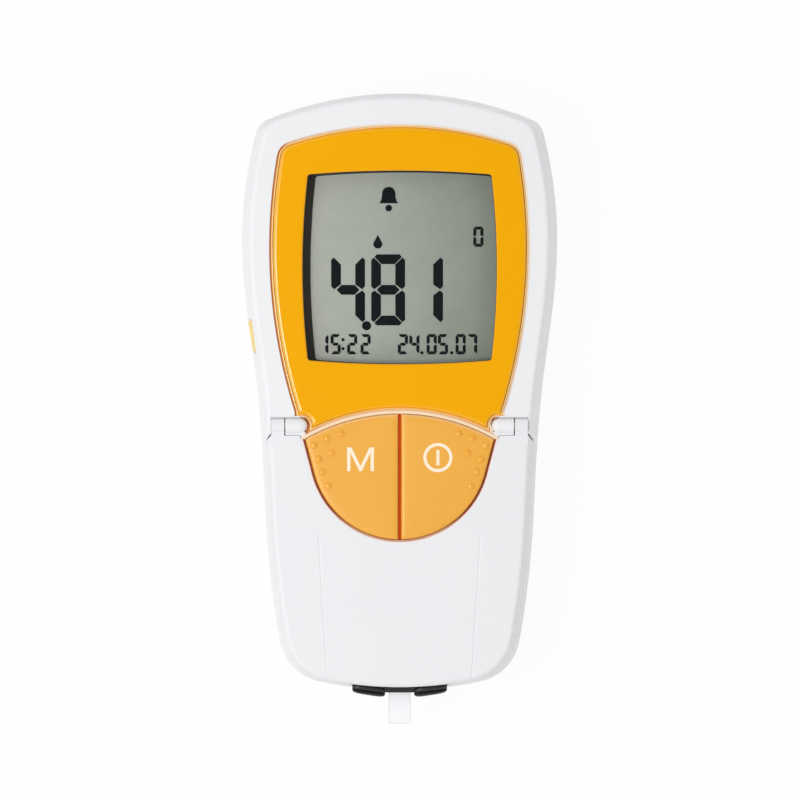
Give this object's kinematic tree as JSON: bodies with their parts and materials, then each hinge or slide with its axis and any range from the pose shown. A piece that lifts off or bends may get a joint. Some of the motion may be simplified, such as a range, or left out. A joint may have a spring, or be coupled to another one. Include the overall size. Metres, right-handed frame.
{
  "type": "blood analyzer",
  "caption": "Hand-held blood analyzer with a display in an orange bezel, two push buttons, a hinged measuring flap, a strip guide with a test strip, a side set button and a battery door",
  "frame": {"origin": "on the flat rear face, under the middle of the housing, the meter lying on its back", "axes": "X to the right as the display is read, Y towards the display end, Z out of the display"},
  "size_m": [0.081, 0.162, 0.0288],
  "materials": {
    "housing_white": "satin moulded plastic",
    "bezel_orange": "gloss moulded plastic",
    "button_orange": "satin moulded plastic",
    "tray_orange": "satin moulded plastic",
    "lens_clear": "clear polished window",
    "lcd_grey": "polarised display glass",
    "dark_plastic": "matt moulded plastic",
    "guide_black": "satin moulded plastic",
    "board_green": "solder mask",
    "zebra_rubber": "layered silicone",
    "dome_silicone": "translucent silicone",
    "set_yellow": "satin moulded plastic",
    "contact_steel": "plated steel",
    "strip_white": "white film",
    "seal_foam": "soft foam",
    "cell_jacket": "plain printed jacket",
    "lamp_clear": "clear epoxy",
    "ribbon_amber": "polyimide film",
    "port_dark": "dark red window"
  },
  "bodies": {
    "housing": {"front_housing": "housing_white", "rear_housing": "housing_white", "face_bezel": "bezel_orange", "button_frame": "tray_orange", "display_window": "lens_clear", "optics_window": "lens_clear", "lcd_panel": "lcd_grey", "lcd_frame": "dark_plastic", "optics_block": "dark_plastic", "board_chips": "dark_plastic", "buzzer": "dark_plastic", "set_switch": "dark_plastic", "flap_sensor": "dark_plastic", "photodiode": "dark_plastic", "strip_guide": "guide_black", "main_board": "board_green", "optics_board": "board_green", "lcd_connectors": "zebra_rubber", "memory_dome": "dome_silicone", "power_dome": "dome_silicone", "hinge_pins": "contact_steel", "housing_screws": "contact_steel", "board_screws": "contact_steel", "battery_springs": "contact_steel", "battery_plates": "contact_steel", "battery_cells": "cell_jacket", "measuring_leds": "lamp_clear", "ir_led": "lamp_clear", "optics_ribbon": "ribbon_amber", "ir_window": "port_dark"},
    "flap": {"measuring_flap": "housing_white", "light_seal": "seal_foam", "flap_magnet": "contact_steel"},
    "memory_key": {"memory_button": "button_orange"},
    "power_key": {"power_button": "button_orange"},
    "set_key": {"set_button": "set_yellow"},
    "rear_door": {"battery_door": "housing_white"},
    "strip": {"test_strip": "strip_white"}
  },
  "joints": [
    {"name": "flap_hinge", "type": "hinge", "parent": "housing", "child": "flap", "pos_m": [0, -0.0084, 0.0268], "axis": [-1, 0, 0], "range_deg": [0, 100]},
    {"name": "memory_button_press", "type": "slide", "parent": "housing", "child": "memory_key", "axis": [0, 0, -1], "range_m": [0, 0.0008], "stiffness_N_per_m": 1500, "deforming": ["memory_dome"]},
    {"name": "power_button_press", "type": "slide", "parent": "housing", "child": "power_key", "axis": [0, 0, -1], "range_m": [0, 0.0008], "stiffness_N_per_m": 1500, "deforming": ["power_dome"]},
    {"name": "set_button_press", "type": "slide", "parent": "housing", "child": "set_key", "axis": [1, 0, 0], "range_m": [0, 0.0006], "stiffness_N_per_m": 1500},
    {"name": "battery_door_hinge", "type": "hinge", "parent": "housing", "child": "rear_door", "pos_m": [0, 0.0091, 0.001], "axis": [-1, 0, 0], "range_deg": [0, 90]},
    {"name": "test_strip_slide", "type": "slide", "parent": "housing", "child": "strip", "axis": [0, -1, 0], "range_m": [0, 0.04]}
  ]
}
